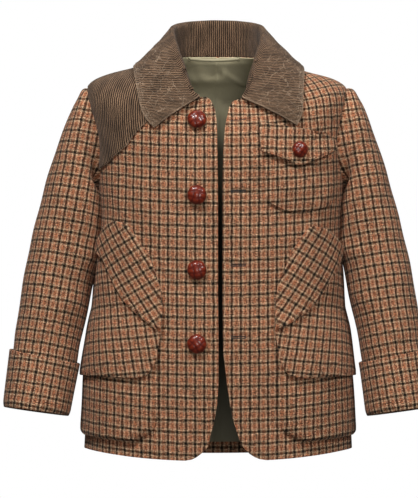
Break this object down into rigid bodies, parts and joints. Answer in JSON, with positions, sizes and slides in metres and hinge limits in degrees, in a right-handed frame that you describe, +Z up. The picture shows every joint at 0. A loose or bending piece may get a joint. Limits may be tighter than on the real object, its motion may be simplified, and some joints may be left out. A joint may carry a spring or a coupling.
{
  "type": "child's checked tweed coat",
  "caption": "hip-length checked tweed coat for a small child, hollow as if worn, with corduroy collar, flap pockets and turned-back cuffs",
  "frame": {"origin": "the middle of the neck opening, level with the neck ends of the shoulder seams, where the wearer's shoulders hold the coat", "axes": "+X to the wearer's left, +Y to the back, +Z up; the fronts face -Y"},
  "size_m": [0.5043, 0.2085, 0.5204],
  "materials": {
    "back": "brown checked tweed",
    "front_right": "brown checked tweed",
    "front_left": "brown checked tweed",
    "sleeve_right": "brown checked tweed",
    "sleeve_left": "brown checked tweed",
    "cuff_right": "brown checked tweed",
    "cuff_left": "brown checked tweed",
    "collar": "brown corduroy",
    "shoulder_patch": "brown corduroy",
    "chest_pocket": "brown checked tweed",
    "chest_flap": "brown checked tweed",
    "pocket_bag_right": "brown checked tweed",
    "pocket_bag_left": "brown checked tweed",
    "pocket_flap_right": "brown checked tweed",
    "pocket_flap_left": "brown checked tweed",
    "hand_warmer_band_right": "brown checked tweed",
    "hand_warmer_band_left": "brown checked tweed",
    "back_lining": "olive woven lining",
    "hanger_loop": "olive woven lining",
    "button_1": "glossy red-brown woven leather",
    "button_2": "glossy red-brown woven leather",
    "button_3": "glossy red-brown woven leather",
    "button_4": "glossy red-brown woven leather",
    "chest_button": "glossy red-brown woven leather"
  },
  "bodies": {
    "root": {"back": "back", "front_right": "front_right", "front_left": "front_left", "sleeve_right": "sleeve_right", "sleeve_left": "sleeve_left", "cuff_right": "cuff_right", "cuff_left": "cuff_left", "collar": "collar", "shoulder_patch": "shoulder_patch", "chest_pocket": "chest_pocket", "chest_flap": "chest_flap", "pocket_bag_right": "pocket_bag_right", "pocket_bag_left": "pocket_bag_left", "pocket_flap_right": "pocket_flap_right", "pocket_flap_left": "pocket_flap_left", "hand_warmer_band_right": "hand_warmer_band_right", "hand_warmer_band_left": "hand_warmer_band_left", "back_lining": "back_lining", "hanger_loop": "hanger_loop", "button_1": "button_1", "button_2": "button_2", "button_3": "button_3", "button_4": "button_4", "chest_button": "chest_button"}
  },
  "joints": []
}
